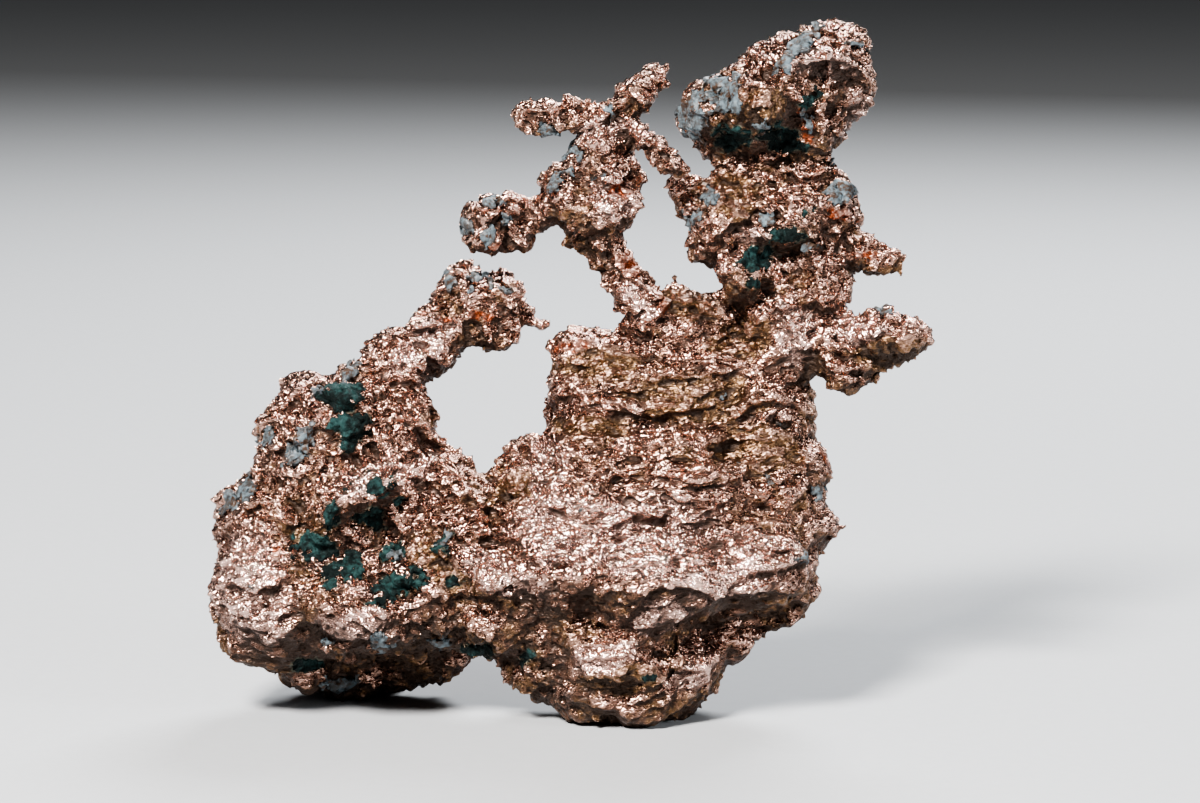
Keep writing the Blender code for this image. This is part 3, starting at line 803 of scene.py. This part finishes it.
def close_cuts(mesh):
    """Caps every loop of open edges, also where two loops touch at a corner, with a fan on a skirt that
    goes in."""
    shape = bmesh.new()
    shape.from_mesh(mesh)
    onward = {}
    for edge in shape.edges:
        if edge.is_boundary:
            loop = edge.link_loops[0]
            onward.setdefault(loop.link_loop_next.vert, []).append(loop.vert)
    caps = []
    while onward:
        walk = [next(iter(onward))]
        while walk:
            ways = onward.get(walk[-1])
            if not ways:
                break
            corner = ways.pop()
            if not ways:
                del onward[walk[-1]]
            if corner in walk:
                start = walk.index(corner)
                caps.append(walk[start:])
                del walk[start + 1 :]
            else:
                walk.append(corner)
    for cap in caps:
        if len(cap) > SMALL_LOOP:
            inner = np.array([corner.co - SKIRT * MM * corner.normal for corner in cap])
            for _ in range(SKIRT_SMOOTHING):
                inner = (np.roll(inner, 1, axis=0) + inner + np.roll(inner, -1, axis=0)) / 3.0
            ring = [shape.verts.new(place) for place in inner]
            for i in range(len(cap)):
                shape.faces.new((cap[i - 1], cap[i], ring[i], ring[i - 1]))
            cap = ring
        if len(cap) > 3:
            middle = shape.verts.new(np.mean([corner.co for corner in cap], axis=0))
            for i in range(len(cap)):
                shape.faces.new((cap[i - 1], cap[i], middle))
        elif len(cap) == 3:
            shape.faces.new(cap)
    bmesh.ops.triangulate(shape, faces=shape.faces)
    shape.to_mesh(mesh)
    shape.free()


# A map for each piece's colours, laid out on a smoothed copy, where the relief doesn't shred it. The
# caps of the cuts, which nothing shows, share a corner of it.
MAP_SMOOTHING, CAP_CORNER = 60, 0.02


def lay_out_map(piece, shown):
    """Gives a piece its map. Its first facets, as many as shown, are the ones that can be seen."""
    smoothed = bpy.data.objects.new("smoothed", piece.data.copy())
    bpy.context.scene.collection.objects.link(smoothed)
    finish_modifier(smoothed, "SMOOTH", factor=0.7, iterations=MAP_SMOOTHING)
    bpy.ops.object.mode_set(mode="EDIT")
    bpy.ops.mesh.select_mode(type="FACE")
    bpy.ops.mesh.select_all(action="DESELECT")
    bpy.ops.object.mode_set(mode="OBJECT")
    facets = np.arange(len(piece.data.polygons)) < shown
    smoothed.data.polygons.foreach_set("select", facets)
    smoothed.data.uv_layers.new(name="OFBake")
    bpy.ops.object.mode_set(mode="EDIT")
    bpy.ops.uv.smart_project(angle_limit=math.radians(66.0), island_margin=0.002)
    bpy.ops.object.mode_set(mode="OBJECT")
    places = np.empty(len(smoothed.data.loops) * 2, np.float32)
    smoothed.data.uv_layers["OFBake"].data.foreach_get("uv", places)
    bpy.data.objects.remove(smoothed)
    places = places.reshape(-1, 3, 2) * (1.0 - CAP_CORNER)
    corners = np.empty(len(piece.data.loops), np.int32)
    piece.data.loops.foreach_get("vertex_index", corners)
    hidden = read(piece.data)[corners.reshape(-1, 3)[~facets], 1:]
    if len(hidden):
        low, high = hidden.min(axis=(0, 1)), hidden.max(axis=(0, 1))
        places[~facets] = 1.0 - CAP_CORNER * (0.1 + 0.8 * (hidden - low) / (high - low))
    piece.data.uv_layers.new(name="OFBake").data.foreach_set("uv", places.ravel())


for piece, node in pieces:
    only(piece)
    bpy.ops.object.mode_set(mode="EDIT")
    bpy.ops.mesh.select_mode(type="EDGE")
    bpy.ops.mesh.select_all(action="DESELECT")
    bpy.ops.mesh.select_non_manifold(use_wire=False, use_multi_face=False, use_non_contiguous=False, use_verts=False)
    bpy.ops.mesh.mark_sharp()
    bpy.ops.object.mode_set(mode="OBJECT")
    shown = len(piece.data.polygons)
    close_cuts(piece.data)
    lay_out_map(piece, shown)
    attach(piece, "root")
    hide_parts(node)
bpy.data.objects.remove(growth)

# ---------------------------------------------------------------------------------------------
# The floor, the lights and the camera.
DISTANCE = 450.0
bpy.ops.mesh.primitive_plane_add(size=6.0)
floor = bpy.context.object
floor.name = "floor"
paper = Finish("pale_floor")
grain = paper.noise(paper.millimetres(), 1.5, 3.0)
paper.shade({"Base Color": paper.mix(grain, (0.44, 0.45, 0.46), (0.48, 0.49, 0.50)), "Roughness": 0.8})
floor.data.materials.append(paper.material)

world = bpy.data.worlds.new("studio")
bpy.context.scene.world = world
world.use_nodes = True
world.node_tree.nodes["Background"].inputs["Color"].default_value = (0.55, 0.60, 0.66, 1.0)
world.node_tree.nodes["Background"].inputs["Strength"].default_value = 0.05
bpy.context.scene.view_settings.look = "AgX - Medium High Contrast"
# Soft boxes: place and aim in metres, width, height, watts and colour.
LIGHTS = {
    "key": ((-0.20, -0.42, 0.44), 0.14, 0.14, 13.0, (1.0, 0.97, 0.94)),
    "fill": ((0.50, -0.30, 0.22), 0.15, 0.15, 2.0, (0.92, 0.96, 1.0)),
    "rim": ((0.15, 0.45, 0.45), 0.30, 0.20, 6.0, (0.95, 0.97, 1.0)),
}
target = Vector((0.0, 0.0, 0.035))
for name, (spot, width, height, watts, colour) in LIGHTS.items():
    light = bpy.data.objects.new(name, bpy.data.lights.new(name, "AREA"))
    light.data.shape = "RECTANGLE"
    light.data.size, light.data.size_y = width, height
    light.data.energy, light.data.color = watts, colour
    light.location = spot
    light.rotation_euler = (target - Vector(spot)).to_track_quat("-Z", "Y").to_euler()
    bpy.context.scene.collection.objects.link(light)

camera = bpy.data.objects.new("camera", bpy.data.cameras.new("camera"))
bpy.context.scene.collection.objects.link(camera)
camera.data.lens, camera.data.sensor_width = 135.0, 36.0
camera.location = to_world(3.0, 31.65, -DISTANCE)
camera.rotation_euler = (to_world(3.0, 31.65, 0.0) - camera.location).to_track_quat("-Z", "Y").to_euler()
camera.data.clip_start = 0.01
bpy.context.scene.camera = camera
